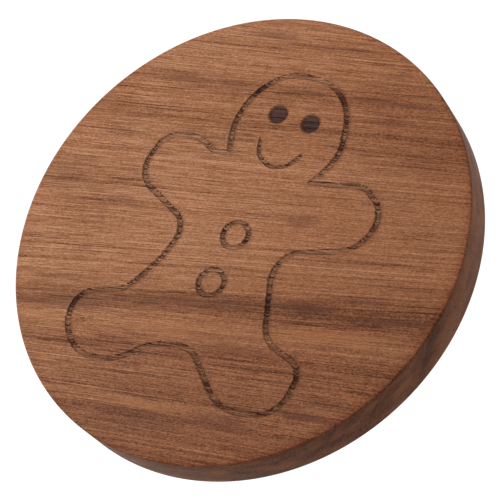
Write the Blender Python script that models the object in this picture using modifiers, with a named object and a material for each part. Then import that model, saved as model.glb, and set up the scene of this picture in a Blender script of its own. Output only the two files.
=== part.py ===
"""Round wooden drink coaster with a gingerbread man engraved on its face.

One disc of solid wood. The figure is a groove that follows its outline, with a
groove for the smile, two ring grooves for the buttons and two shallow round
pockets for the eyes. The origin is the centre of the underside, the face looks
up +Z, and the figure's head points along +Y.
"""

import math

import bmesh
import bpy
from mathutils import Vector

# Disc, in metres like every size below
DISC_DIAMETER = 0.095
DISC_THICKNESS = 0.009
RIM_EASE = 0.0003

# Round-bottomed grooves: width at the face, and depth
OUTLINE_GROOVE = (0.00125, 0.0005)
SMILE_GROOVE = (0.0009, 0.00035)
BUTTON_GROOVE = (0.00115, 0.0004)
BUTTON_RADIUS = 0.0027
EYE_RADIUS = 0.0021
EYE_DEPTH = 0.00025

# How finely round shapes are cut
DISC_SIDES = 144
RIM_SEGMENTS = 2
ROUND_SIDES = 32
GROOVE_SIDES = 10
BALL_SIDES = 16
ARC_STEP = 0.0012
SHORTEST_STEP = 0.00015

# Sharp corners of the figure, where the head line meets the arms
NECK_LEFT = (-0.0097, 0.0150, 0.0)
NECK_RIGHT = (0.0104, 0.0145, 0.0)

# Corners of the drawn lines: x, y and the radius of the arc that rounds each one
HEAD = [
    NECK_LEFT,
    (-0.0120, 0.0215, 0.0120),
    (-0.0110, 0.0285, 0.0120),
    (-0.0055, 0.0350, 0.0120),
    (0.0050, 0.0350, 0.0115),
    (0.0105, 0.0305, 0.0120),
    (0.0135, 0.0210, 0.0120),
    NECK_RIGHT,
]

LEFT_ARM = [
    (-0.0130, 0.0140, 0.0020),
    (-0.0175, 0.0165, 0.0085),
    (-0.0250, 0.0150, 0.0050),
    (-0.0270, 0.0050, 0.0070),
    (-0.0105, -0.0015, 0.0055),
]

LEFT_LEG = [
    (-0.0120, -0.0095, 0.0150),
    (-0.0160, -0.0180, 0.0060),
    (-0.0255, -0.0215, 0.0050),
    (-0.0255, -0.0280, 0.0075),
    (-0.0195, -0.0335, 0.0085),
    (-0.0105, -0.0320, 0.0120),
    (-0.0050, -0.0260, 0.0110),
]

RIGHT_LEG = [
    (0.0020, -0.0245, 0.0065),
    (0.0045, -0.0250, 0.0090),
    (0.0130, -0.0320, 0.0160),
    (0.0180, -0.0330, 0.0105),
    (0.0265, -0.0305, 0.0090),
    (0.0270, -0.0205, 0.0040),
    (0.0170, -0.0180, 0.0060),
]

RIGHT_ARM = [
    (0.0115, -0.0050, 0.0140),
    (0.0130, -0.0005, 0.0060),
    (0.0265, 0.0045, 0.0075),
    (0.0275, 0.0130, 0.0080),
    (0.0210, 0.0170, 0.0060),
    (0.0145, 0.0150, 0.0100),
]

BODY = [NECK_LEFT] + LEFT_ARM + LEFT_LEG + RIGHT_LEG + RIGHT_ARM + [NECK_RIGHT]

SMILE = [
    (-0.0045, 0.0195, 0.0),
    (-0.0035, 0.0165, 0.0040),
    (0.0005, 0.0145, 0.0045),
    (0.0040, 0.0160, 0.0040),
    (0.0055, 0.0190, 0.0),
]

EYES = [(-0.0035, 0.0257), (0.0041, 0.0257)]
BUTTONS = [(0.0006, -0.0005), (0.0007, -0.0110)]


def clear_scene():
    """Removes every object that the file opened with."""
    for obj in list(bpy.data.objects):
        bpy.data.objects.remove(obj, do_unlink=True)


def new_collection(name):
    """Makes a collection under the scene's own."""
    collection = bpy.data.collections.new(name)
    bpy.context.scene.collection.children.link(collection)
    return collection


def put(obj, collection):
    """Moves an object into one collection."""
    for old in list(obj.users_collection):
        old.objects.unlink(obj)
    collection.objects.link(obj)


def keep_as_cutter(obj, name, collection):
    """Marks an object as a tool shape, which isn't part of the coaster."""
    obj.name = name
    obj.hide_render = True
    obj.display_type = "WIRE"
    put(obj, collection)


def rounded_corner(before, corner, after):
    """Points along the arc that rounds one corner of a line."""
    at = Vector(corner[:2])
    back = Vector(before[:2]) - at
    ahead = Vector(after[:2]) - at
    half = back.angle(ahead) / 2.0
    room = min(back.length, ahead.length) / 2.0
    cut = min(corner[2] / math.tan(half), room)
    radius = cut * math.tan(half)
    middle = (back.normalized() + ahead.normalized()).normalized()
    centre = at + middle * radius / math.sin(half)
    spoke = at + back.normalized() * cut - centre
    sweep = math.copysign(math.pi - 2.0 * half, -back.cross(ahead))
    steps = max(2, round(abs(sweep) * radius / ARC_STEP))
    points = []
    for i in range(steps + 1):
        angle = sweep * i / steps
        x = spoke.x * math.cos(angle) - spoke.y * math.sin(angle)
        y = spoke.x * math.sin(angle) + spoke.y * math.cos(angle)
        points.append(centre + Vector((x, y)))
    return points


def line_through(corners):
    """A drawn line through its corners, straight runs joined by arcs."""
    points = [Vector(corners[0][:2])]
    for before, corner, after in zip(corners, corners[1:], corners[2:]):
        for point in rounded_corner(before, corner, after):
            if (point - points[-1]).length > SHORTEST_STEP:
                points.append(point)
    end = Vector(corners[-1][:2])
    if (end - points[-1]).length < SHORTEST_STEP:
        points.pop()
    points.append(end)
    return points


def round_tool(groove):
    """Radius of the round tool that cuts a groove, and its centre's height over the face."""
    width, depth = groove
    radius = (width * width / 4.0 + depth * depth) / (2.0 * depth)
    return radius, radius - depth


def add_rod(name, corners, groove, collection):
    """A round rod that lies along a drawn line and ploughs its groove."""
    radius, height = round_tool(groove)
    curve = bpy.data.curves.new(name, "CURVE")
    curve.dimensions = "3D"
    curve.bevel_depth = radius
    curve.bevel_resolution = GROOVE_SIDES // 2 - 2
    curve.use_fill_caps = True
    points = line_through(corners)
    spline = curve.splines.new("POLY")
    spline.points.add(len(points) - 1)
    for spline_point, point in zip(spline.points, points):
        spline_point.co = (point.x, point.y, DISC_THICKNESS + height, 1.0)
    rod_curve = bpy.data.objects.new(name, curve)
    bpy.context.scene.collection.objects.link(rod_curve)
    depsgraph = bpy.context.evaluated_depsgraph_get()
    mesh = bpy.data.meshes.new_from_object(rod_curve.evaluated_get(depsgraph))
    bm = bmesh.new()
    bm.from_mesh(mesh)
    bmesh.ops.remove_doubles(bm, verts=bm.verts, dist=0.000001)
    bmesh.ops.recalc_face_normals(bm, faces=bm.faces)
    bm.to_mesh(mesh)
    bm.free()
    rod = bpy.data.objects.new(name, mesh)
    bpy.context.scene.collection.objects.link(rod)
    rod.matrix_world = rod_curve.matrix_world.copy()
    bpy.data.objects.remove(rod_curve, do_unlink=True)
    keep_as_cutter(rod, name, collection)


def add_ball(name, corner, groove, collection):
    """A ball that rounds off the end of a drawn line."""
    radius, height = round_tool(groove)
    bpy.ops.mesh.primitive_uv_sphere_add(
        segments=BALL_SIDES,
        ring_count=GROOVE_SIDES,
        radius=radius,
        location=(corner[0], corner[1], DISC_THICKNESS + height),
    )
    keep_as_cutter(bpy.context.object, name, collection)


def add_corner_point(name, before, corner, after, groove, collection):
    """A cone that carries a sharp corner of the outline on to its point."""
    radius, height = round_tool(groove)
    at = Vector(corner[:2])
    back = Vector(before[:2]) - at
    ahead = Vector(after[:2]) - at
    outward = -(back.normalized() + ahead.normalized()).normalized()
    reach = groove[0] / 2.0 / math.sin(back.angle(ahead) / 2.0)
    tip = radius / 4.0
    middle = at + outward * reach / 2.0
    bpy.ops.mesh.primitive_cone_add(
        vertices=BALL_SIDES,
        radius1=radius,
        radius2=tip,
        depth=reach,
        location=(middle.x, middle.y, DISC_THICKNESS + height),
        rotation=outward.to_3d().to_track_quat("Z", "Y").to_euler(),
    )
    keep_as_cutter(bpy.context.object, name, collection)


def add_ring(name, centre, collection):
    """A torus that ploughs a button's ring groove."""
    radius, height = round_tool(BUTTON_GROOVE)
    bpy.ops.mesh.primitive_torus_add(
        major_radius=BUTTON_RADIUS,
        minor_radius=radius,
        major_segments=ROUND_SIDES,
        minor_segments=GROOVE_SIDES,
        location=(centre[0], centre[1], DISC_THICKNESS + height),
    )
    keep_as_cutter(bpy.context.object, name, collection)


def add_drum(name, centre, collection):
    """A short drum that sinks an eye's pocket, half of it over the face."""
    bpy.ops.mesh.primitive_cylinder_add(
        vertices=ROUND_SIDES,
        radius=EYE_RADIUS,
        depth=2.0 * EYE_DEPTH,
        location=(centre[0], centre[1], DISC_THICKNESS),
    )
    keep_as_cutter(bpy.context.object, name, collection)


def wood_material():
    """Oiled brown hardwood."""
    material = bpy.data.materials.new("oiled_walnut")
    material.use_nodes = True
    shader = material.node_tree.nodes["Principled BSDF"]
    shader.inputs["Base Color"].default_value = (0.235, 0.108, 0.055, 1.0)
    shader.inputs["Roughness"].default_value = 0.55
    shader.inputs["Metallic"].default_value = 0.0
    return material


def add_disc(collection):
    """The round board with its edges eased."""
    bpy.ops.mesh.primitive_cylinder_add(
        vertices=DISC_SIDES,
        radius=DISC_DIAMETER / 2.0,
        depth=DISC_THICKNESS,
        location=(0.0, 0.0, DISC_THICKNESS / 2.0),
    )
    disc = bpy.context.object
    disc.name = "disc"
    disc.data.materials.append(wood_material())
    disc.data.shade_smooth()
    disc.data.set_sharp_from_angle(angle=math.radians(30.0))
    put(disc, collection)
    ease = disc.modifiers.new("eased edges", "BEVEL")
    ease.width = RIM_EASE
    ease.segments = RIM_SEGMENTS
    ease.limit_method = "ANGLE"
    ease.angle_limit = math.radians(60.0)
    return disc


def add_engraving_tools(collection):
    """Every tool shape that engraves the face."""
    add_rod("head_line", HEAD, OUTLINE_GROOVE, collection)
    add_rod("body_line", BODY, OUTLINE_GROOVE, collection)
    add_ball("neck_left_ball", NECK_LEFT, OUTLINE_GROOVE, collection)
    add_ball("neck_right_ball", NECK_RIGHT, OUTLINE_GROOVE, collection)
    add_corner_point("neck_left_point", HEAD[1], NECK_LEFT, BODY[1], OUTLINE_GROOVE, collection)
    add_corner_point("neck_right_point", HEAD[-2], NECK_RIGHT, BODY[-2], OUTLINE_GROOVE, collection)
    add_rod("smile_line", SMILE, SMILE_GROOVE, collection)
    add_ball("smile_left_ball", SMILE[0], SMILE_GROOVE, collection)
    add_ball("smile_right_ball", SMILE[-1], SMILE_GROOVE, collection)
    for side, centre in zip(("left", "right"), EYES):
        add_drum(f"eye_{side}", centre, collection)
    for place, centre in zip(("upper", "lower"), BUTTONS):
        add_ring(f"button_{place}", centre, collection)


def build_coaster():
    """Makes the disc and engraves it."""
    clear_scene()
    coaster = new_collection("wooden_coaster")
    tools = new_collection("engraving_tools")
    disc = add_disc(coaster)
    add_engraving_tools(tools)
    engraving = disc.modifiers.new("engraving", "BOOLEAN")
    engraving.operation = "DIFFERENCE"
    engraving.solver = "EXACT"
    engraving.operand_type = "COLLECTION"
    engraving.collection = tools


build_coaster()
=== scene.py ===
# %% [markdown]
# # A round wooden coaster with an engraved gingerbread man
#
# The real thing is one disc of oiled walnut, 95 mm across and 9 mm thick. A plain
# gingerbread man is burnt into its face as a groove about a millimetre wide. The
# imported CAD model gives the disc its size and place. This notebook makes the fine
# surface that the eye sees: the soft rim, the rough scorched grooves and the grain.

import math

import bmesh
import bpy
import numpy as np
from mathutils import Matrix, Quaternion, Vector, noise


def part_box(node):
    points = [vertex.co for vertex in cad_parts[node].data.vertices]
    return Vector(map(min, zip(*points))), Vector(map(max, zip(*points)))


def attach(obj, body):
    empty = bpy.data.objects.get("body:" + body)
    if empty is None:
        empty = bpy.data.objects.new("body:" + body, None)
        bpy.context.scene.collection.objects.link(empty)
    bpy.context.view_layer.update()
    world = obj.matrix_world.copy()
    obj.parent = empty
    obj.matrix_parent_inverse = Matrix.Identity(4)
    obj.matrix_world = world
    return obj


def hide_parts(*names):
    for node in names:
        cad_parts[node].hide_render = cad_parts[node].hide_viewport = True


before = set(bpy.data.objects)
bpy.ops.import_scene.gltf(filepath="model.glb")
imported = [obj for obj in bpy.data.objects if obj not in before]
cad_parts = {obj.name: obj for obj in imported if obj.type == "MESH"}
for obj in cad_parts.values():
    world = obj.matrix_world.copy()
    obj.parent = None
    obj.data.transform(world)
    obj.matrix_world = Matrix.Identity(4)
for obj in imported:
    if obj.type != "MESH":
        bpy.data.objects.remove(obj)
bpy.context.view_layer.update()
disc_low, disc_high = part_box("disc")
MM = 0.001
RADIUS = (disc_high.x - disc_low.x) / 2
FACE_Z = disc_high.z
print(f"disc {2 * RADIUS / MM:.1f} mm across, {FACE_Z / MM:.1f} mm thick")

# %% [markdown]
# ## The camera
#
# The photograph was taken from some way off with a long lens, so the disc shows
# almost no perspective. The camera stands 56 degrees above the table and is rolled,
# which makes the figure lean to the right. A camera that looks back along its own Z
# axis is turned with to_track_quat, and the roll is a second turn about that axis.

# %% Camera
CAMERA_AIM = Vector((5.14, -2.36, 9.0)) * MM
CAMERA_DISTANCE = 381.6 * MM
CAMERA_AZIMUTH = math.radians(-24.2)
CAMERA_ELEVATION = math.radians(55.59)
CAMERA_ROLL = math.radians(-42.22)
CAMERA_LENS = 144.0


def direction(azimuth, elevation):
    """The unit vector that points to an azimuth, counted from +X, and an elevation."""
    level = math.cos(elevation)
    return Vector((math.cos(azimuth) * level, math.sin(azimuth) * level, math.sin(elevation)))


to_camera = direction(CAMERA_AZIMUTH, CAMERA_ELEVATION)
camera_data = bpy.data.cameras.new("camera")
camera_data.lens = CAMERA_LENS
camera_data.sensor_width = 36.0
camera_data.clip_start = 0.01
camera = bpy.data.objects.new("camera", camera_data)
bpy.context.scene.collection.objects.link(camera)
camera.location = CAMERA_AIM + to_camera * CAMERA_DISTANCE
camera.rotation_mode = "QUATERNION"
camera.rotation_quaternion = to_camera.to_track_quat("Z", "Y") @ Quaternion((0, 0, 1), CAMERA_ROLL)
bpy.context.scene.camera = camera
print("camera at", [round(value, 4) for value in camera.location])

# %% [markdown]
# ## The drawn lines
#
# The figure is drawn as straight runs between named corners, and each corner is
# rounded by an arc. That is how a sign maker lays out a cutting path: few numbers,
# smooth curves, and two places, at the neck, where the line turns sharply. A circle
# or a spline would be quicker, but neither gives arms and legs of the right width.
# Each corner below is a place in millimetres and the radius of its arc.

# %% Corners of the figure
NECK_LEFT = (-9.7, 15.0, 0.0)
NECK_RIGHT = (10.4, 14.5, 0.0)

HEAD = [
    NECK_LEFT,
    (-12.0, 21.5, 12.0),
    (-11.0, 28.5, 12.0),
    (-5.5, 35.0, 12.0),
    (5.0, 35.0, 11.5),
    (10.5, 30.5, 12.0),
    (13.5, 21.0, 12.0),
    NECK_RIGHT,
]
RIGHT_ARM = [
    (14.5, 15.0, 10.0),
    (21.0, 17.0, 6.0),
    (27.5, 13.0, 8.0),
    (26.5, 4.5, 7.5),
    (13.0, -0.5, 6.0),
]
RIGHT_LEG = [
    (11.5, -5.0, 14.0),
    (17.0, -18.0, 6.0),
    (27.0, -20.5, 4.0),
    (26.5, -30.5, 9.0),
    (18.0, -33.0, 10.5),
    (13.0, -32.0, 16.0),
    (4.5, -25.0, 9.0),
    (2.0, -24.5, 6.5),
]
LEFT_LEG = [
    (-5.0, -26.0, 11.0),
    (-10.5, -32.0, 12.0),
    (-19.5, -33.5, 8.5),
    (-25.5, -28.0, 7.5),
    (-25.5, -21.5, 5.0),
    (-16.0, -18.0, 6.0),
    (-12.0, -9.5, 15.0),
]
LEFT_ARM = [
    (-10.5, -1.5, 5.5),
    (-27.0, 5.0, 7.0),
    (-25.0, 15.0, 5.0),
    (-17.5, 16.5, 8.5),
    (-13.0, 14.3, 4.0),
]
BODY = [NECK_RIGHT] + RIGHT_ARM + RIGHT_LEG + LEFT_LEG + LEFT_ARM + [NECK_LEFT]
SMILE = [
    (-4.5, 19.5, 0.0),
    (-3.5, 16.5, 4.0),
    (0.5, 14.5, 4.5),
    (4.0, 16.0, 4.0),
    (5.5, 19.0, 0.0),
]
EYES = [(-3.5, 25.7), (4.1, 25.7)]
BUTTONS = [(0.6, -0.5), (0.7, -11.0)]
BUTTON_RADIUS = 2.7
EYE_RADIUS = 2.1


# %% Lines through the corners
STATION_STEP = 0.25
END_RUN = 2.0
ARC_POINTS = 40


def rounded_line(corners):
    """Close points along a line whose corners are rounded by arcs, in millimetres."""
    points = [Vector(corners[0][:2])]
    for before, corner, after in zip(corners, corners[1:], corners[2:]):
        at = Vector(corner[:2])
        back = Vector(before[:2]) - at
        ahead = Vector(after[:2]) - at
        half = back.angle(ahead) / 2
        cut = min(corner[2] / math.tan(half), back.length / 2, ahead.length / 2)
        radius = cut * math.tan(half)
        middle = (back.normalized() + ahead.normalized()).normalized()
        centre = at + middle * radius / math.sin(half)
        spoke = at + back.normalized() * cut - centre
        sweep = math.copysign(math.pi - 2 * half, -back.cross(ahead))
        for angle in np.linspace(0, sweep, ARC_POINTS):
            turn = complex(spoke.x, spoke.y) * complex(math.cos(angle), math.sin(angle))
            points.append(centre + Vector((turn.real, turn.imag)))
    points.append(Vector(corners[-1][:2]))
    return np.array([tuple(point) for point in points])


def stations(corners, spacing):
    """Points on a rounded line and the way it runs at each. Both ends are spaced exactly."""
    line = rounded_line(corners)
    reach = np.concatenate([[0], np.cumsum(np.hypot(*np.diff(line, axis=0).T))])
    length = reach[-1]
    near = spacing * np.arange(round(END_RUN / spacing))
    middle = np.linspace(END_RUN, length - END_RUN, round((length - 2 * END_RUN) / spacing) + 1)
    along = np.concatenate([near, middle, length - near[::-1]])
    points = np.stack([np.interp(along, reach, line[:, axis]) for axis in (0, 1)], axis=1)
    heading = np.gradient(points, along, axis=0)
    heading /= np.linalg.norm(heading, axis=1)[:, None]
    return along, points, heading


head_along, head_points, head_heading = stations(HEAD, STATION_STEP)
body_along, body_points, body_heading = stations(BODY, STATION_STEP)
smile_along, smile_points, smile_heading = stations(SMILE, STATION_STEP)
print(f"outline {head_along[-1] + body_along[-1]:.0f} mm long, smile {smile_along[-1]:.1f} mm")

# %% [markdown]
# ## The shape of a groove
#
# A laser or a small cutter leaves a channel with a round floor and steep sides. Half
# of its section is a short table, from the middle of the floor out to the flat face,
# in shares of half the width and of the depth. The last points lie on the face: they
# keep the shading of the big flat face clean, and they carry the brown smoke beside
# the line. A mesh vertex remembers how scorched it is in its own attributes, so that
# the material can follow the line.
#
# The hard lines of the wood hold the cutter back, so a stroke that runs along the
# grain is shallower than one that crosses it. Where two strokes meet at the neck, both
# have the same depth, or the mesh would be torn there.

# %% Groove sections
SECTION_ACROSS = (0.0, 0.2, 0.4, 0.57, 0.72, 0.84, 0.93, 1.0, 1.08, 1.25, 1.5, 1.8, 2.1)
SECTION_DEPTH = (1.0, 0.97, 0.87, 0.69, 0.46, 0.25, 0.10, 0.03, 0.0, 0.0, 0.0, 0.0, 0.0)
SECTION_CHAR = (1.0, 1.0, 1.0, 1.0, 1.0, 0.92, 0.7, 0.35, 0.1, 0.0, 0.0, 0.0, 0.0)
SMOKE = (0.1, 0.3, 0.4, 0.45, 0.5, 0.5, 0.5, 0.5, 0.48, 0.40, 0.27, 0.1, 0.0)
OUTLINE_HALF_WIDTH = 0.61
OUTLINE_DEPTH = 0.33
SMILE_HALF_WIDTH = 0.44
SMILE_DEPTH = 0.34
BUTTON_HALF_WIDTH = 0.575
BUTTON_DEPTH = 0.3
ALONG_BITE = 0.6
MEETING_BITE = 0.8
NARROWEST = 0.6

EYE_ACROSS = (0.0, 0.15, 0.3, 0.45, 0.6, 0.72, 0.8, 0.86, 0.91, 0.95, 0.985, 1.02, 1.06, 1.16)
EYE_SHARE = (1.0, 1.0, 1.0, 1.0, 1.0, 0.98, 0.93, 0.82, 0.62, 0.38, 0.15, 0.03, 0.0, 0.0)
EYE_CHAR = (1.0, 1.0, 1.0, 1.0, 1.0, 1.0, 0.95, 0.8, 0.6, 0.55, 0.55, 0.4, 0.15, 0.0)
EYE_DEPTH = 0.3

# %% [markdown]
# ## Which way the grain runs
#
# The board was cut along the trunk, so its fibres run nearly straight across the
# face, rising to the right by about 14 degrees. Burning eats the soft wood between
# the hard lines faster, which leaves tiny ridges along the grain on every floor, and
# the ends of the burnt fibres make the sides of a groove ragged. Where the burner
# moved slowly the line is darker. Each dark spot below is a place along the grain and
# across it, a size, all in millimetres, and how much darker the line is there.

# %% Grain direction and relief
GRAIN_ANGLE = math.radians(13.8)
grain_along = Vector((math.cos(GRAIN_ANGLE), math.sin(GRAIN_ANGLE)))
grain_across = Vector((-math.sin(GRAIN_ANGLE), math.cos(GRAIN_ANGLE)))
RELIEF = 0.3
RAGGED = 0.22
FRINGE_REACH = 0.2
DARK_SPOTS = [
    (-2.5, 31.0, 2.0, 0.8), (15.5, 29.8, 1.6, 0.8), (17.8, 20.0, 2.2, 0.4),
    (-29.6, -16.8, 2.0, 0.8), (-28.5, -25.0, 1.6, 0.5), (11.0, -15.0, 3.0, 0.6),
    (-17.5, -11.0, 1.3, 0.5), (2.6, -30.5, 1.5, 0.5), (-7.0, -24.3, 2.2, 0.2),
    (-18.0, -27.8, 3.0, 0.5), (-5.8, 24.5, 2.5, 0.3), (-12.5, 3.5, 2.5, 0.3),
    (0.5, -0.6, 4.5, 0.15), (-1.9, -10.9, 4.5, 0.15), (4.5, 16.4, 6.0, 0.2),
]


def in_the_grain(x, y):
    """A place on the face as its distances along the fibres and across them."""
    u = grain_along.x * x + grain_along.y * y
    v = grain_across.x * x + grain_across.y * y
    return u, v


def ridges(x, y):
    """Height of the burnt ridges at a place in millimetres, about -1 to 1."""
    u, v = in_the_grain(x, y)
    coarse = noise.noise(Vector((u * 0.12, v * 1.3, 5.0)))
    fine = noise.noise(Vector((u * 0.35, v * 3.1, 9.0)))
    return 1.3 * coarse + 0.9 * fine


def fringe(x, y):
    """How far the burnt fibres' ends stand out or in along the grain, about -0.5 to 0.5."""
    u, v = in_the_grain(x, y)
    return noise.noise(Vector((u * 0.5, v * 2.6, 21.0)))


def lingering(x, y):
    """How much darker the line is where the burner moved slowly."""
    u, v = in_the_grain(x, y)
    darker = 0.0
    for at_u, at_v, size, extra in DARK_SPOTS:
        darker += extra * math.exp(-((u - at_u) ** 2 + (v - at_v) ** 2) / size ** 2)
    return darker


def across_grain(heading):
    """How squarely a line crosses the grain: 0 along it, 1 across it."""
    return abs(heading[0] * grain_across.x + heading[1] * grain_across.y)


# %% [markdown]
# ## Laying the grooves
#
# Each groove starts as a flat grid from bmesh. Its long way is laid along the drawn
# line and its short way is folded into the section. Where the outline turns sharply
# at the neck, the outer edges run on to a point, and the inner edges stop at the
# line halfway between the two strokes, so that both strokes meet there and weld.

# %% A grid laid along a line
OUTSIDE = 1
FIGURE = 2
FIRST_BUTTON = 3


def new_layers(bm):
    """What the material reads at a vertex, and the part of the flat face that it borders."""
    names = ("char", "edge", "across", "even", "soot", "smoke", "rim")
    layers = {name: bm.verts.layers.float.new(name) for name in names}
    layers["borders"] = bm.verts.layers.int.new("borders")
    return layers


def settle(vert, layers, x, y, share, depth, char, edge, across):
    """Puts a vertex of a groove in place, with its ridges, and notes how it is burnt."""
    rough = ridges(x, y)
    grip = 1.0 - min(1.0, max(0.0, (edge - 1.0) / FRINGE_REACH))
    drift = grain_along * fringe(x, y) * RAGGED * grip * min(1.0, edge)
    sunk = depth * share * (1.0 + RELIEF * rough)
    vert.co = Vector((x + drift.x, y + drift.y, 0.0)) * MM + Vector((0, 0, FACE_Z - sunk * MM))
    vert[layers["char"]] = char
    vert[layers["edge"]] = edge
    vert[layers["across"]] = across
    vert[layers["soot"]] = lingering(x, y)


def lay_grid(bm, rows, columns, place):
    """Adds a grid and has place(vertex, row, column) move each vertex."""
    made = bmesh.ops.create_grid(bm, x_segments=rows, y_segments=columns, size=1.0)["verts"]
    for vert in made:
        row = round((vert.co.x + 1) / 2 * rows)
        column = round((vert.co.y + 1) / 2 * columns)
        place(vert, row, column)


# %% How a stroke fades
def smoke_side(outwards):
    """How far a side of the line looks the way that the smoke was drawn off, 0 to 1."""
    return max(0.0, outwards[0] * grain_along.x + outwards[1] * grain_along.y - 0.25) / 0.75


def narrowed(fade):
    """The width of a line that fades at its ends, as a share of its full width."""
    return NARROWEST + (1 - NARROWEST) * fade


def fainter(fade):
    """How much of its burn a line keeps where it fades."""
    return min(1.0, 0.45 + 0.7 * fade)


# %% A groove along a line
def lay_groove(bm, layers, points, heading, half_width, depth, borders, tips=None, strength=None):
    """A groove along a line. tips holds the sharp corner at each end, strength fades it.

    borders names the flat parts to its left and right.
    """
    middle = len(SECTION_ACROSS) - 1
    last = len(points) - 1

    def place(vert, row, column):
        side = column - middle
        edge = SECTION_ACROSS[abs(side)]
        fade = 1.0 if strength is None else strength[row]
        offset = edge * half_width * narrowed(fade)
        left = np.array((-heading[row][1], heading[row][0]))
        outwards = left if side > 0 else -left
        spot = points[row] + outwards * offset
        if tips is not None:
            pointing, half = tips[0] if row < last / 2 else tips[1]
            distance = STATION_STEP * min(row, last - row)
            if side > 0:
                offset = min(offset, distance * math.tan(half))
                spot = points[row] + left * offset
                edge = offset / half_width
            elif row in (0, last):
                spot = points[row] + np.array(pointing) * offset / math.sin(half)
        squarely = across_grain(heading[row])
        bite = ALONG_BITE + (1 - ALONG_BITE) * squarely
        if tips is not None:
            bite = np.interp(distance, (END_RUN, 2 * END_RUN), (MEETING_BITE, bite))
        share = np.interp(edge, SECTION_ACROSS, SECTION_DEPTH) * fade * bite
        char = np.interp(edge, SECTION_ACROSS, SECTION_CHAR) * fainter(fade)
        settle(vert, layers, spot[0], spot[1], share, depth, char, edge, squarely)
        smoke = np.interp(edge, SECTION_ACROSS, SMOKE)
        vert[layers["smoke"]] = smoke * smoke_side(outwards) * fade
        vert[layers["borders"]] = borders[0] if side > 0 else borders[1]

    lay_grid(bm, last, 2 * middle, place)


# %% A round patch of grid
def lay_round(bm, layers, centre, radius, edges, shares, chars, depth,
              start=0.0, sweep=math.tau, steps=72, even=0.0):
    """A round pocket, or part of one, from its centre outwards.

    edges are shares of its radius. even is 1 for a pocket that is scorched evenly.
    """

    def place(vert, row, column):
        angle = start + sweep * row / steps
        x = centre[0] + math.cos(angle) * radius * edges[column]
        y = centre[1] + math.sin(angle) * radius * edges[column]
        turned = across_grain((-math.sin(angle), math.cos(angle)))
        settle(vert, layers, x, y, shares[column], depth, chars[column], edges[column], turned)
        vert[layers["even"]] = even
        vert[layers["borders"]] = FIGURE

    lay_grid(bm, steps, len(edges) - 1, place)


# %% [markdown]
# ## Engraving the figure
#
# The sharp corners need two facts each: which way their point looks, and half the
# angle between the two strokes. The smile starts and stops as a shallow scratch.

# %% Grooves, buttons and eyes
BUTTON_STEPS = 96
SMILE_END_STRENGTH = 0.65
SMILE_FADE_RUN = 2.5
WELD = 0.003


def sharp_corner(corner, first, second):
    """Direction of a sharp corner's point, and half the angle between its strokes."""
    one = (Vector(first[:2]) - Vector(corner[:2])).normalized()
    two = (Vector(second[:2]) - Vector(corner[:2])).normalized()
    return tuple(-(one + two).normalized()), one.angle(two) / 2


bm = bmesh.new()
layers = new_layers(bm)
left_tip = sharp_corner(NECK_LEFT, HEAD[1], BODY[-2])
right_tip = sharp_corner(NECK_RIGHT, HEAD[-2], BODY[1])
lay_groove(bm, layers, head_points, head_heading, OUTLINE_HALF_WIDTH, OUTLINE_DEPTH,
           (OUTSIDE, FIGURE), tips=(left_tip, right_tip))
lay_groove(bm, layers, body_points, body_heading, OUTLINE_HALF_WIDTH, OUTLINE_DEPTH,
           (OUTSIDE, FIGURE), tips=(right_tip, left_tip))

smile_end = np.minimum(smile_along, smile_along[-1] - smile_along)
smile_middle = np.clip(smile_end / SMILE_FADE_RUN, 0, 1)
smile_strength = SMILE_END_STRENGTH + (1 - SMILE_END_STRENGTH) * smile_middle
lay_groove(bm, layers, smile_points, smile_heading, SMILE_HALF_WIDTH, SMILE_DEPTH,
           (FIGURE, FIGURE), strength=smile_strength)
for end, sign in ((0, 1), (-1, -1)):
    fade = smile_strength[end]
    radius = SMILE_HALF_WIDTH * narrowed(fade)
    shares = [share * fade for share in SECTION_DEPTH]
    chars = [char * fainter(fade) for char in SECTION_CHAR]
    ahead = math.atan2(smile_heading[end][1], smile_heading[end][0])
    lay_round(bm, layers, smile_points[end], radius, SECTION_ACROSS, shares, chars, SMILE_DEPTH,
              start=ahead + math.pi / 2, sweep=sign * math.pi, steps=16)

turn = np.linspace(0, math.tau, BUTTON_STEPS + 1)
ring = np.stack([np.cos(turn), np.sin(turn)], axis=1)
tangent = np.stack([-np.sin(turn), np.cos(turn)], axis=1)
for i, centre in enumerate(BUTTONS):
    lay_groove(bm, layers, np.array(centre) + BUTTON_RADIUS * ring, tangent,
               BUTTON_HALF_WIDTH, BUTTON_DEPTH, (FIRST_BUTTON + i, FIGURE))
for centre in EYES:
    lay_round(bm, layers, centre, EYE_RADIUS, EYE_ACROSS, EYE_SHARE, EYE_CHAR, EYE_DEPTH, even=1.0)

bmesh.ops.remove_doubles(bm, verts=bm.verts, dist=WELD * MM)
bmesh.ops.dissolve_degenerate(bm, edges=bm.edges, dist=0.5 * WELD * MM)
print("engraved surface:", len(bm.faces), "faces")

# %% [markdown]
# ## Rim, side and underside
#
# The disc was turned or routed round and its edges were broken with sandpaper. Its
# outer shape is one profile, spun about Z. The face and the underside are then filled
# in between the loops that are still open.
#
# The edge and the side are painted darker and redder. This is painted shade, strongest
# on the side turned away from the key lamp, towards the camera, with a little of it all
# round. Each point of the profile also says how much of this painted shade it takes: one
# table goes in from the edge over the face, and another goes down the side.

# %% Profile of the rim
RIM_EASE = 0.4 * MM
RIM_STEPS = 6
SPIN_STEPS = 360
# Painted shade along the rim: how much the face near the edge, the eased edge and the side take, and
# the side where it is strongest.
RIM_SHADE_IN = [(2.0, 0.0), (1.3, 0.1), (0.8, 0.28), (0.3, 0.5)]
RIM_SHADE_DOWN = [(0.4, 0.45), (1.0, 0.3), (2.0, 0.22)]
TOP_RIM_SHADE = 0.55
BOTTOM_RIM_SHADE = 0.22
LEAST_RIM_SHADE = 0.25
RIM_SHADE_TURN = math.radians(-25)


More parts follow.
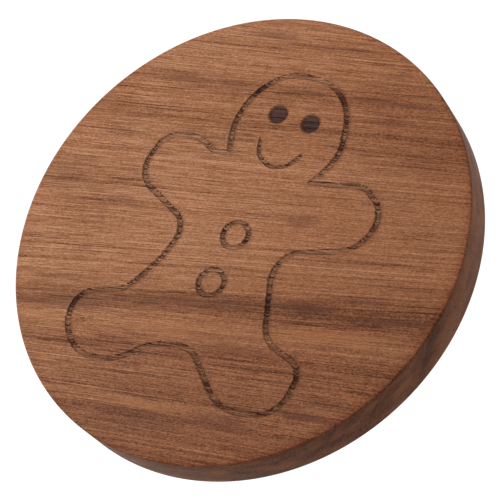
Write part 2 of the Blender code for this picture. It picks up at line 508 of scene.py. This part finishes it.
def quarter_round(centre_z, first, rim_shade):
    """The eased edge as points of the profile, from the angle first downwards."""
    points = []
    for i in range(RIM_STEPS + 1):
        angle = first - math.pi / 2 * i / RIM_STEPS
        r = RADIUS - RIM_EASE + RIM_EASE * math.cos(angle)
        points.append((r, centre_z + RIM_EASE * math.sin(angle), rim_shade))
    return points


profile = [(RADIUS - RIM_EASE - inwards * MM, FACE_Z, rim_shade) for inwards, rim_shade in RIM_SHADE_IN]
profile += quarter_round(FACE_Z - RIM_EASE, math.pi / 2, TOP_RIM_SHADE)
profile += [(RADIUS, FACE_Z - RIM_EASE - down * MM, rim_shade) for down, rim_shade in RIM_SHADE_DOWN]
profile += quarter_round(disc_low.z + RIM_EASE, 0.0, BOTTOM_RIM_SHADE)
profile.append((RADIUS - 2 * RIM_EASE, disc_low.z, 0.0))
print("the rim's profile has", len(profile), "points")

# %% Spin the rim and fill the flats
profile_verts = [bm.verts.new((r, 0.0, z)) for r, z, rim_shade in profile]
for vert, (r, z, rim_shade) in zip(profile_verts, profile):
    vert[layers["rim"]] = rim_shade
profile_edges = [bm.edges.new(pair) for pair in zip(profile_verts, profile_verts[1:])]
profile_verts[0][layers["borders"]] = OUTSIDE
bmesh.ops.spin(bm, geom=profile_verts + profile_edges, cent=(0, 0, 0), axis=(0, 0, 1),
               angle=math.tau, steps=SPIN_STEPS, use_merge=True)
bmesh.ops.remove_doubles(bm, verts=bm.verts, dist=0.5 * WELD * MM)
# Painted shade: the rim is painted darkest on the side turned away from the key lamp.
for vert in bm.verts:
    toward_shaded_side = math.cos(math.atan2(vert.co.y, vert.co.x) - RIM_SHADE_TURN)
    vert[layers["rim"]] *= LEAST_RIM_SHADE + (1 - LEAST_RIM_SHADE) * max(0.0, toward_shaded_side)
for part in range(FIRST_BUTTON + len(BUTTONS)):
    loops = [edge for edge in bm.edges if edge.is_boundary]
    loops = [edge for edge in loops if edge.verts[0][layers["borders"]] == part]
    made = bmesh.ops.triangle_fill(bm, edges=loops, use_beauty=True)["geom"]
    print("flat part", part, "has", len(loops), "edges round it and", len(made), "new parts")
bmesh.ops.recalc_face_normals(bm, faces=bm.faces)
still_open = sum(edge.is_boundary for edge in bm.edges)
odd = sum(not edge.is_manifold for edge in bm.edges)
print("closed disc:", len(bm.faces), "faces,", still_open, "open edges,", odd, "odd edges")
volume = bm.calc_volume()
print(f"volume {volume * 1e6:.1f} cubic centimetres")
for face in bm.faces:
    face.smooth = True

# %% The coaster as an object
coaster_mesh = bpy.data.meshes.new("engraved_coaster")
bm.to_mesh(coaster_mesh)
bm.free()
coaster = bpy.data.objects.new("engraved_coaster", coaster_mesh)
bpy.context.scene.collection.objects.link(coaster)
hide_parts("disc")
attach(coaster, "root")

# %% [markdown]
# ## Writing a material as formulas
#
# The wood is a solid pattern in space, as in a real board, so the face, the side and
# the underside agree where they meet. An image would be quicker, but it would smear
# over the rim. A few helpers let each formula of the pattern stand on a line of its
# own. A value that is an output of another node is linked, any other one is set.

# %% Node helpers
def feed(socket, value):
    """Links an output to a socket, or sets the socket to a plain value."""
    if isinstance(value, bpy.types.NodeSocket):
        socket.id_data.links.new(value, socket)
    else:
        socket.default_value = value


def compute(tree, operation, *values, clamp=False):
    """A Math node's result."""
    node = tree.nodes.new("ShaderNodeMath")
    node.operation = operation
    node.use_clamp = clamp
    for socket, value in zip(node.inputs, values):
        feed(socket, value)
    return node.outputs[0]


def weigh(tree, *terms):
    """The sum of (value, weight) pairs."""
    total = 0.0
    for value, weight in terms:
        total = compute(tree, "MULTIPLY_ADD", value, weight, total)
    return total


def clamped(tree, value, gain=1.0):
    """A value times its gain, kept between 0 and 1."""
    return compute(tree, "MULTIPLY", value, gain, clamp=True)


def between(tree, value, low, high, start=0.0, stop=1.0):
    """A soft step: start at low and below, stop at high and above."""
    node = tree.nodes.new("ShaderNodeMapRange")
    node.interpolation_type = "SMOOTHSTEP"
    settings = {"Value": value, "From Min": low, "From Max": high, "To Min": start, "To Max": stop}
    for name, setting in settings.items():
        feed(node.inputs[name], setting)
    return node.outputs["Result"]


def vertex_value(tree, name):
    """What the mesh remembers at its vertices."""
    node = tree.nodes.new("ShaderNodeAttribute")
    node.attribute_name = name
    return node.outputs["Fac"]


# %% Colour helpers
def ramp(tree, value, stops):
    """A Color Ramp. Each stop is a position and a grey level or a colour."""
    node = tree.nodes.new("ShaderNodeValToRGB")
    entries = node.color_ramp.elements
    while len(entries) < len(stops):
        entries.new(0.5)
    for entry, (position, level) in zip(entries, stops):
        entry.position = position
        entry.color = (*level, 1.0) if isinstance(level, tuple) else (level, level, level, 1.0)
    feed(node.inputs["Fac"], value)
    return node.outputs["Color"]


def blend_colours(tree, share, first, second):
    """Mixes two colours. share is how much of the second one shows."""
    node = tree.nodes.new("ShaderNodeMix")
    node.data_type = "RGBA"
    feed(node.inputs[0], share)
    feed(node.inputs[6], first)
    feed(node.inputs[7], second)
    return node.outputs[2]


def tinted(tree, colour, tint, share=1.0):
    """A colour multiplied by a tint, as far as share says."""
    node = tree.nodes.new("ShaderNodeMix")
    node.data_type = "RGBA"
    node.blend_type = "MULTIPLY"
    feed(node.inputs[0], share)
    feed(node.inputs[6], colour)
    feed(node.inputs[7], tint)
    return node.outputs[2]


# %% [markdown]
# ## The space that the grain lives in
#
# The pattern is written in the wood's own directions, in millimetres: u along the
# fibres, v across them on the face, and the depth below the face. Real fibres are not
# ruled lines, so v is bent a little. The grain's slope changes from one side of the
# board to the other: each entry of BAND_SLOPES is a place across the board and the
# slope there. A slow noise makes the lines wander as well. The growth layers also
# lean as they go down into the board, which is what shows on the side.
#
# A Color Ramp holds nothing below zero, so the slopes go in with SLOPE_OFFSET added
# and come out with it taken off.

# %% Wood directions
BAND_SLOPES = [
    (-38, 0.042), (-24, 0.011), (-17, -0.003), (-13, -0.03),
    (-5, 0.0), (20, 0.048), (30, 0.057), (43, 0.083),
]
SLOPE_OFFSET = 0.1
HALF_BOARD = 47.5
LEAN = -0.8
WAVE = 1.3


def board_ramp(tree, across, stops):
    """A value that changes from one side of the board to the other, by stops in millimetres."""
    share = compute(tree, "MULTIPLY_ADD", across, 0.5 / HALF_BOARD, 0.5)
    return ramp(tree, share, [(0.5 + place * 0.5 / HALF_BOARD, level) for place, level in stops])


def grain_noise(tree, space, length, width, depth, seed, detail=2.0, roughness=0.5):
    """Noise about zero, drawn out to a length along the fibres, a width and a depth."""
    stretch = tree.nodes.new("ShaderNodeMapping")
    stretch.inputs["Scale"].default_value = (1 / length, 1 / width, 1 / depth)
    stretch.inputs["Location"].default_value = (seed, 7.3 * seed, 3.1 * seed)
    feed(stretch.inputs["Vector"], space)
    cloud = tree.nodes.new("ShaderNodeTexNoise")
    cloud.inputs["Scale"].default_value = 1.0
    cloud.inputs["Detail"].default_value = detail
    cloud.inputs["Roughness"].default_value = roughness
    feed(cloud.inputs["Vector"], stretch.outputs[0])
    return compute(tree, "SUBTRACT", cloud.outputs["Fac"], 0.5)


# %% Where a point lies in the board
def wood_space(tree):
    """Where a point lies in the board, in millimetres.

    Gives the bent grain's own space as one vector, the distances along the fibres and
    across them, the plain unbent place, and the height above the face.
    """
    place = tree.nodes.new("ShaderNodeTexCoord").outputs["Object"]
    turned = tree.nodes.new("ShaderNodeMapping")
    feed(turned.inputs["Vector"], place)
    turned.inputs["Scale"].default_value = (1 / MM, 1 / MM, 1 / MM)
    turned.inputs["Rotation"].default_value = (0, 0, -GRAIN_ANGLE)
    apart = tree.nodes.new("ShaderNodeSeparateXYZ")
    feed(apart.inputs[0], turned.outputs[0])
    u, v, height = apart.outputs
    below = compute(tree, "SUBTRACT", height, FACE_Z / MM)
    slope = board_ramp(tree, v, [(place, level + SLOPE_OFFSET) for place, level in BAND_SLOPES])
    slanted = weigh(tree, (compute(tree, "SUBTRACT", slope, SLOPE_OFFSET), u), (v, 1.0))
    leaned = compute(tree, "MULTIPLY_ADD", below, LEAN, slanted)
    joined = tree.nodes.new("ShaderNodeCombineXYZ")
    for socket, value in zip(joined.inputs, (u, leaned, below)):
        feed(socket, value)
    waves = grain_noise(tree, joined.outputs[0], 55, 22, 60, 3.0, detail=1.0)
    bent = weigh(tree, (waves, WAVE), (leaned, 1.0))
    final = tree.nodes.new("ShaderNodeCombineXYZ")
    for socket, value in zip(final.inputs, (u, bent, below)):
        feed(socket, value)
    return final.outputs[0], u, bent, turned.outputs[0], below


# %% [markdown]
# ## Smoky marks
#
# Walnut has dark smoky marks and a few golden ones between its bands. The larger ones
# were placed after the photograph. Each is a soft lens, made by one small node
# group: a place along the grain and across it, how far it reaches each way, all in
# millimetres, and how much lighter the wood is there. A noise frays their edges.

# %% Smoky streaks
def smoky_streak_group():
    """A soft lens-shaped mark: 1 at its centre, 0 at its reach."""
    group = bpy.data.node_groups.new("smoky_streak", "ShaderNodeTree")
    for name in ("Space", "Centre", "Reach"):
        group.interface.new_socket(name=name, in_out="INPUT", socket_type="NodeSocketVector")
    group.interface.new_socket(name="Mark", in_out="OUTPUT", socket_type="NodeSocketFloat")
    given = group.nodes.new("NodeGroupInput")
    result = group.nodes.new("NodeGroupOutput")
    last = given.outputs["Space"]
    for operation, socket in (("SUBTRACT", "Centre"), ("DIVIDE", "Reach")):
        node = group.nodes.new("ShaderNodeVectorMath")
        node.operation = operation
        feed(node.inputs[0], last)
        feed(node.inputs[1], given.outputs[socket])
        last = node.outputs[0]
    away = group.nodes.new("ShaderNodeVectorMath")
    away.operation = "LENGTH"
    feed(away.inputs[0], last)
    feed(result.inputs[0], between(group, away.outputs["Value"], 0.1, 1.0, 1.0, 0.0))
    return group


# %% Where the marks lie
STREAKS = [
    (-20, 33.2, 15, 1.7, -0.22), (-7.5, 31.6, 6, 1.6, -0.22), (-3, 43.6, 10, 1.6, -0.28),
    (10, 41, 14, 1.1, -0.25), (17, 40.3, 6, 0.8, -0.3), (-30, 20.7, 8, 0.9, -0.2),
    (-38, 14.4, 6, 0.8, -0.22), (-41, 10, 9, 5, -0.12), (-26.5, 4.8, 8, 0.8, -0.2),
    (-6, 10, 6, 0.8, -0.15), (8, 30.3, 9, 1.0, -0.3), (21.5, 29.0, 7, 0.9, -0.4),
    (30, 27.9, 9, 0.9, -0.45), (25, 25, 10, 1.2, -0.2), (24, 17.6, 5, 0.45, -0.4),
    (22, 13.3, 5, 0.5, -0.25), (13.5, 3, 5, 2.4, -0.28), (-35, -12.2, 9, 1.0, -0.28),
    (-41, -17.7, 8, 1.2, -0.35), (-30, -17.3, 12, 2.4, -0.35), (-18, -16, 9, 1.8, -0.2),
    (-7, -15.7, 12, 2.2, -0.3), (4, -15.6, 9, 2.4, -0.25), (19, -14.4, 9, 1.9, -0.45),
    (28, -12.3, 11, 0.9, -0.35), (36, -15.8, 14, 1.5, -0.42), (-33, -25.6, 12, 0.6, -0.5),
    (-19, -24.4, 9, 0.7, -0.3), (-8, -21, 16, 1.8, 0.22), (26, -19.6, 18, 2.2, 0.3),
    (-36, -20.8, 8, 2.2, 0.2), (8, -24.2, 14, 1.7, -0.2), (-15, -32.8, 9, 0.6, -0.25),
    (-13, -34.9, 12, 0.7, -0.25), (-9, -36.6, 14, 1.2, 0.25), (-10, -39.3, 15, 3, -0.25),
    (7, -38, 13, 2.2, -0.25), (25, -35.4, 9, 0.6, -0.45), (27, -34.2, 9, 0.9, 0.2),
    (28, -32.3, 7, 0.7, -0.25),
]
BROAD_PATCHES = [
    (-8, 0, 26, 20, 0.07), (40, 17, 22, 14, -0.16), (-37, 8, 22, 15, -0.16),
    (22, 40, 20, 9, -0.1), (-37, 27, 15, 10, -0.1), (27, 29, 15, 9, -0.12),
    (23, -17, 18, 9, -0.09), (38, -17, 14, 14, -0.04),
]

# %% Marks that follow the grain
MARK_DEPTH = 14
smoky_streak = smoky_streak_group()


def placed_marks(tree, space, marks):
    """The sum of soft marks, each with its strength. They follow the slope of the grain."""
    ragged = grain_noise(tree, space, 40, 0.9, 6, 13.0, detail=1.0)
    shift = tree.nodes.new("ShaderNodeCombineXYZ")
    feed(shift.inputs[1], compute(tree, "MULTIPLY", ragged, 2.5))
    moved = tree.nodes.new("ShaderNodeVectorMath")
    feed(moved.inputs[0], space)
    feed(moved.inputs[1], shift.outputs[0])
    terms = []
    for u, v, length, width, strength in marks:
        node = tree.nodes.new("ShaderNodeGroup")
        node.node_tree = smoky_streak
        feed(node.inputs["Space"], moved.outputs[0])
        slope = np.interp(v, *zip(*BAND_SLOPES))
        node.inputs["Centre"].default_value = (u, v + slope * u, 0)
        node.inputs["Reach"].default_value = (length, width, MARK_DEPTH)
        terms.append((node.outputs[0], strength))
    return weigh(tree, *terms)


# %% [markdown]
# ## Bands and browns
#
# Bands a few millimetres to a centimetre wide run right across the disc. Each entry
# of BAND_TONES is a place across the board and how light the wood is there, as
# judged. The pattern only makes the wood lighter or darker, and one ramp of walnut browns
# turns that tone into colour. Smoke and gold marks, red blotches with painted sheen, and the
# painted shade along the rim then tint it where they lie.

# %% Bands and browns
BAND_TONES = [
    (-47, 0.50), (-39, 0.44), (-38.2, 0.44), (-37.4, 0.62), (-36, 0.62), (-35, 0.52),
    (-32.5, 0.52), (-30, 0.62), (-27, 0.54), (-24, 0.50), (-23.2, 0.62), (-21, 0.78),
    (-19.8, 0.76), (-19, 0.58), (-18.1, 0.68), (-17.4, 0.42), (-14.3, 0.41), (-13, 0.62),
    (-11, 0.72), (-8, 0.81), (-2, 0.80), (2, 0.76), (6.5, 0.87), (12, 0.83),
    (18, 0.82), (21.5, 0.72), (23, 0.62), (29, 0.69), (30, 0.58), (33, 0.67),
    (35, 0.82), (47, 0.88),
]
# Painted shade: how much darker the wood is painted for each millimetre to the right, for the key
# lamp's fall-off.
PAINTED_LAMP_FALLOFF = 0.0022
LIGHTEST = 1.3
WALNUT_BROWNS = [
    (0.0, (0.082, 0.028, 0.013)),
    (0.25, (0.168, 0.060, 0.026)),
    (0.5, (0.265, 0.105, 0.047)),
    (0.8, (0.366, 0.158, 0.075)),
    (1.0, (0.445, 0.210, 0.108)),
    (LIGHTEST, (0.560, 0.289, 0.157)),
]
SMOKE_PURPLE = (0.130, 0.051, 0.034, 1)
STRIPE_GOLD = (0.385, 0.155, 0.060, 1)
# Tint for red blotches, and painted sheen: the wood is painted less red to the left, where the key
# lamp's white sheen would be.
RED_BLOTCH_AND_SHEEN_TINT = (1.02, 0.92, 0.88, 1)
RIM_SHADE_RED = (0.66, 0.44, 0.36, 1)
print("bands at", len(BAND_TONES), "places,", len(STREAKS) + len(BROAD_PATCHES), "marks")

# %% [markdown]
# ## Pores and fine lines
#
# From broad to fine: blotches, long streaks, straight lines, fibres, short dashes, and
# the dark dashes of cut pores, which sit closer together in some places. A stretched
# noise alone gives lines of even strength, which look like combed fur. Real lines come
# and go, so another noise fades them in and out.

# %% Pores and fine lines
def pore_dashes(tree, space, length, width, seed, crowd):
    """Dark dashes of different sizes, one in each cell. More show where crowd is high."""
    stretch = tree.nodes.new("ShaderNodeMapping")
    stretch.inputs["Scale"].default_value = (1 / length, 1 / width, 1 / width)
    stretch.inputs["Location"].default_value = (seed, 2.9 * seed, 5.7 * seed)
    feed(stretch.inputs["Vector"], space)
    cells = tree.nodes.new("ShaderNodeTexVoronoi")
    cells.inputs["Scale"].default_value = 1.0
    feed(cells.inputs["Vector"], stretch.outputs[0])
    chance = tree.nodes.new("ShaderNodeSeparateColor")
    feed(chance.inputs[0], cells.outputs["Color"])
    reach = weigh(tree, (chance.outputs[0], 0.22), (crowd, 0.5), (1.0, 0.12))
    core = compute(tree, "MULTIPLY", reach, 0.5)
    inside = between(tree, cells.outputs["Distance"], core, reach, 1.0, 0.0)
    return compute(tree, "MULTIPLY", inside, weigh(tree, (chance.outputs[1], 0.9), (1.0, 0.1)))


def coming_and_going(tree, pattern, space, steady, length, width, seed):
    """A pattern that fades in and out, so that each line in it has ends.

    It fades less where steady is high.
    """
    mask = grain_noise(tree, space, length, width, 2 * width, seed, detail=1.0)
    shown = between(tree, mask, compute(tree, "MULTIPLY", steady, -1.0), steady)
    return compute(tree, "MULTIPLY", pattern, shown)


def hair_lines(tree, space, length, spacing, seed, fineness):
    """Long thin dark lines that come and go: where a stretched noise passes through zero."""
    cloud = grain_noise(tree, space, length, spacing, 4 * spacing, seed, detail=0.0)
    line = between(tree, compute(tree, "ABSOLUTE", cloud), 0.0, fineness, 1.0, 0.0)
    mask = grain_noise(tree, space, 28, 0.8, 3, seed + 0.5, detail=1.0)
    return compute(tree, "MULTIPLY", line, between(tree, mask, -0.08, 0.1))


# %% [markdown]
# ## How light the wood is
#
# The sum below is the whole pattern. steady says how little the lines fade: they run
# on at the lower right of the board, and are short and broken at its upper left, where
# the dashes are stronger instead. The board is also painted slowly darker towards its
# right, by a fixed amount for each millimetre: painted shade for the near key lamp's fall-off.

# %% The wood's tone
LEAST_STEADY = 0.14
MOST_STEADY = 0.6


def walnut_tone(tree, space, along, across):
    """How light the wood is, how red, and the marks, pores and fibres in it."""
    ragged = grain_noise(tree, space, 50, 1.1, 6, 17.0, detail=1.0)
    frayed = weigh(tree, (ragged, 1.3), (across, 1.0))
    bands = board_ramp(tree, frayed, BAND_TONES)
    marks = placed_marks(tree, space, STREAKS)
    patches = placed_marks(tree, space, BROAD_PATCHES)
    blotches = grain_noise(tree, space, 24, 9, 14, 1.0)
    streaks = grain_noise(tree, space, 100, 1.6, 6, 2.0, detail=2.0, roughness=0.6)
    lower_right = weigh(tree, (along, 1.0), (across, -0.6))
    steady = between(tree, lower_right, -20, 40, LEAST_STEADY, MOST_STEADY)
    straight_lines = grain_noise(tree, space, 150, 0.5, 1.5, 3.0)
    lines = coming_and_going(tree, straight_lines, space, steady, 35, 1.0, 18.0)
    straight_fibres = grain_noise(tree, space, 110, 0.19, 0.3, 4.0, detail=1.0)
    fibres = coming_and_going(tree, straight_fibres, space, steady, 16, 0.6, 19.0)
    short = grain_noise(tree, space, 6.0, 0.2, 0.3, 21.0, detail=1.0)
    dashes = compute(tree, "MULTIPLY", short, between(tree, steady, LEAST_STEADY, 0.5, 1.2, 0.5))
    speckle = grain_noise(tree, space, 0.45, 0.16, 0.16, 5.0, detail=0.0)
    crowd = grain_noise(tree, space, 20, 5, 8, 6.0)
    long_pores = pore_dashes(tree, space, 14, 0.3, 8.0, crowd)
    short_pores = pore_dashes(tree, space, 7, 0.24, 9.0, crowd)
    pores = compute(tree, "MAXIMUM", long_pores, short_pores)
    long_hairs = hair_lines(tree, space, 200, 2.2, 14.0, 0.02)
    wide_hairs = hair_lines(tree, space, 120, 1.0, 15.0, 0.035)
    close_hairs = hair_lines(tree, space, 60, 0.5, 16.0, 0.06)
    hairs = weigh(tree, (long_hairs, 0.5), (wide_hairs, 0.34), (close_hairs, 0.28))
    broad = [(bands, 0.87), (marks, 0.36), (patches, 1.0), (blotches, 0.12), (streaks, 0.1)]
    fine = [(lines, 0.33), (fibres, 2.0), (dashes, 1.0), (speckle, 0.9), (pores, -0.42), (hairs, -0.7)]
    # Painted shade: the tone falls off towards the right along the grain, for the near key lamp's
    # fall-off.
    drift = [(along, -PAINTED_LAMP_FALLOFF), (across, 0.0014), (1.0, 0.14)]
    tone = weigh(tree, *broad, *fine, *drift)
    # Redness from random blotches, plus painted sheen: it grows to the right, so the left looks
    # greyer, as if lit by the key lamp's sheen.
    redness_and_sheen_falloff = weigh(tree, (along, 0.35 / HALF_BOARD), (across, 0.1 / HALF_BOARD),
                    (blotches, 1.5), (1.0, 0.5))
    return tone, redness_and_sheen_falloff, marks, pores, fibres


# %% [markdown]
# ## The burnt line
#
# Heat chars the soft wood between the hard lines first. Where a stroke crosses the
# grain, dark bars like rungs lie across its floor. Where it runs along the grain, its
# floor stays a pale grey brown and thin broken lines run along its two edges. The mesh
# knows how squarely each stroke crosses the grain, so the material can tell the two
# apart. The eyes are burnt evenly, with fine dark lines along the grain.

# %% Char
CHAR_BLACK = (0.034, 0.0135, 0.009, 1)
EYE_BLACK = (0.022, 0.012, 0.010, 1)
EYE_BROWN = (0.115, 0.056, 0.045, 1)
SMOKE_STAIN = (0.085, 0.034, 0.019, 1)
TOAST = (0.90, 0.98, 1.10, 1)


def charred(tree, space, wood, char, marks):
    """The wood's colour with the burn on it, and the height of its ridges."""
    edge, across, even, soot, smoke = marks
    bars = grain_noise(tree, space, 8.0, 0.23, 0.5, 11.0, detail=1.0, roughness=0.7)
    rough = grain_noise(tree, space, 6, 1.8, 4, 12.0)
    outer = between(tree, edge, 0.98, 1.12, 1.0, 0.0)
    rims = compute(tree, "MULTIPLY", between(tree, edge, 0.6, 0.85), outer)
    toasted = tinted(tree, wood, TOAST)
    squarely = compute(tree, "MULTIPLY", across, across)
    fierce = weigh(tree, (across, 1.2), (1.0, 3.1))
    edge_lines = compute(tree, "MULTIPLY", rims, compute(tree, "SUBTRACT", 1.0, squarely))
    broken_lines = compute(tree, "MULTIPLY", edge_lines, weigh(tree, (bars, 3.5), (1.0, 0.35)))
    barred = compute(tree, "MULTIPLY", bars, fierce)
    black = weigh(tree, (squarely, 0.32), (soot, 0.7), (rough, 0.6), (barred, 1.0),
                  (broken_lines, 1.2), (smoke, 0.4), (1.0, 0.10))
    scorched = blend_colours(tree, clamped(tree, black), toasted, CHAR_BLACK)
    flat_black = weigh(tree, (bars, 4.5), (rims, 0.5), (1.0, 0.25))
    flat_burn = blend_colours(tree, clamped(tree, flat_black), EYE_BROWN, EYE_BLACK)
    burnt = blend_colours(tree, even, scorched, flat_burn)
    stained = blend_colours(tree, smoke, wood, SMOKE_STAIN)
    return blend_colours(tree, char, stained, burnt), bars


# %% [markdown]
# ## The finished wood
#
# The side was sanded across its end grain, which mixes dust into the pores and leaves
# it mottled and slightly golden. So the side takes one more noise, which isn't drawn
# out along the fibres and fades just below the face.

# %% The colour of the wood
walnut = bpy.data.materials.new("oiled_walnut")
walnut.use_nodes = True
tree = walnut.node_tree
shader = tree.nodes["Principled BSDF"]
space, along, across, place, below = wood_space(tree)
tone, redness_and_sheen_falloff, streaks, pores, fibres = walnut_tone(tree, space, along, across)
sanding = grain_noise(tree, place, 6.0, 6.0, 2.2, 20.0)
on_the_side = between(tree, below, -1.2, -0.4, 1.0, 0.0)
mottle = compute(tree, "MULTIPLY", sanding, on_the_side)
tone = weigh(tree, (mottle, 1.0), (tone, 1.0))
brown_stops = [(level / LIGHTEST, brown) for level, brown in WALNUT_BROWNS]
wood = ramp(tree, compute(tree, "DIVIDE", tone, LIGHTEST), brown_stops)
wood = blend_colours(tree, clamped(tree, streaks, -1.2), wood, SMOKE_PURPLE)
wood = blend_colours(tree, clamped(tree, streaks, 1.6), wood, STRIPE_GOLD)
wood = blend_colours(tree, clamped(tree, mottle, 2.2), wood, STRIPE_GOLD)
# Red blotches, and painted sheen: the left of the board is painted less red and greyer, for the key
# lamp's sheen.
wood = tinted(tree, wood, RED_BLOTCH_AND_SHEEN_TINT, clamped(tree, redness_and_sheen_falloff))
# Painted shade along the rim and down the side: darker and redder, most on the side away from the key
# lamp.
wood = tinted(tree, wood, RIM_SHADE_RED, vertex_value(tree, "rim"))
print("the wood's colour takes", len(tree.nodes), "nodes")

# %% The coaster's surface
char = vertex_value(tree, "char")
marks = [vertex_value(tree, name) for name in ("edge", "across", "even", "soot", "smoke")]
surface, bars = charred(tree, space, wood, char, marks)
feed(shader.inputs["Base Color"], surface)
feed(shader.inputs["Roughness"], weigh(tree, (fibres, 0.3), (char, 0.3), (1.0, 0.55)))
relief = tree.nodes.new("ShaderNodeBump")
relief.inputs["Strength"].default_value = 1.0
relief.inputs["Distance"].default_value = MM
burnt_bars = compute(tree, "MULTIPLY", bars, char)
feed(relief.inputs["Height"], weigh(tree, (pores, -0.02), (fibres, 0.02), (burnt_bars, 0.12)))
feed(shader.inputs["Normal"], relief.outputs[0])
shader.inputs["IOR"].default_value = 1.45
shader.inputs["Specular IOR Level"].default_value = 0.1
coaster_mesh.materials.append(walnut)
print("oiled walnut has", len(tree.nodes), "nodes")

# %% [markdown]
# ## Floor and light
#
# The photograph is a shop picture: a white table and large soft lamps. The table
# looks pure white to the camera and in reflections, but it sends only a little light
# back on to the side of the disc, which keeps that side dark.

# %% Floor
PAST_WHITE = 1.1
FLOOR_BOUNCE = 0.44
FLOOR_REFLECTED = 0.9

floor_mesh = bpy.data.meshes.new("floor")
floor_bm = bmesh.new()
bmesh.ops.create_grid(floor_bm, x_segments=1, y_segments=1, size=4.0)
floor_bm.to_mesh(floor_mesh)
floor_bm.free()
floor = bpy.data.objects.new("floor", floor_mesh)
floor.location.z = -0.02 * MM
bpy.context.scene.collection.objects.link(floor)

floor_material = bpy.data.materials.new("white_table")
floor_material.use_nodes = True
tree = floor_material.node_tree
tree.nodes.clear()
rays = tree.nodes.new("ShaderNodeLightPath").outputs
glow = tree.nodes.new("ShaderNodeEmission")
seen = weigh(tree, (rays["Is Camera Ray"], PAST_WHITE), (rays["Is Diffuse Ray"], FLOOR_BOUNCE),
             (rays["Is Glossy Ray"], FLOOR_REFLECTED))
feed(glow.inputs["Strength"], seen)
output = tree.nodes.new("ShaderNodeOutputMaterial")
feed(output.inputs[0], glow.outputs[0])
floor_mesh.materials.append(floor_material)

# %% Lamps and surroundings
ROOM_LIGHT = 0.22

world = bpy.data.worlds.new("studio")
world.use_nodes = True
bpy.context.scene.world = world
tree = world.node_tree
background = tree.nodes["Background"]
background.inputs["Color"].default_value = (1, 1, 1, 1)
camera_ray = tree.nodes.new("ShaderNodeLightPath").outputs["Is Camera Ray"]
room = weigh(tree, (camera_ray, PAST_WHITE - ROOM_LIGHT), (1.0, ROOM_LIGHT))
feed(background.inputs["Strength"], room)


def add_softbox(name, azimuth, elevation, distance, size, brightness):
    """A square lamp that faces the disc. Its brightness is that of its surface."""
    data = bpy.data.lights.new(name, "AREA")
    data.shape = "SQUARE"
    data.size = size
    data.energy = brightness * math.pi * size * size
    lamp = bpy.data.objects.new(name, data)
    out = direction(math.radians(azimuth), math.radians(elevation))
    lamp.location = out * distance
    lamp.rotation_mode = "QUATERNION"
    lamp.rotation_quaternion = out.to_track_quat("Z", "Y")
    bpy.context.scene.collection.objects.link(lamp)


add_softbox("key", 190, 50, 0.34, 0.20, 4.2)
add_softbox("overhead", 200, 80, 1.2, 0.6, 4.0)
add_softbox("left_side", 85, 22, 1.0, 0.5, 1.1)
add_softbox("right_side", -125, 22, 1.0, 0.5, 1.1)
bpy.context.scene.view_settings.view_transform = "Standard"
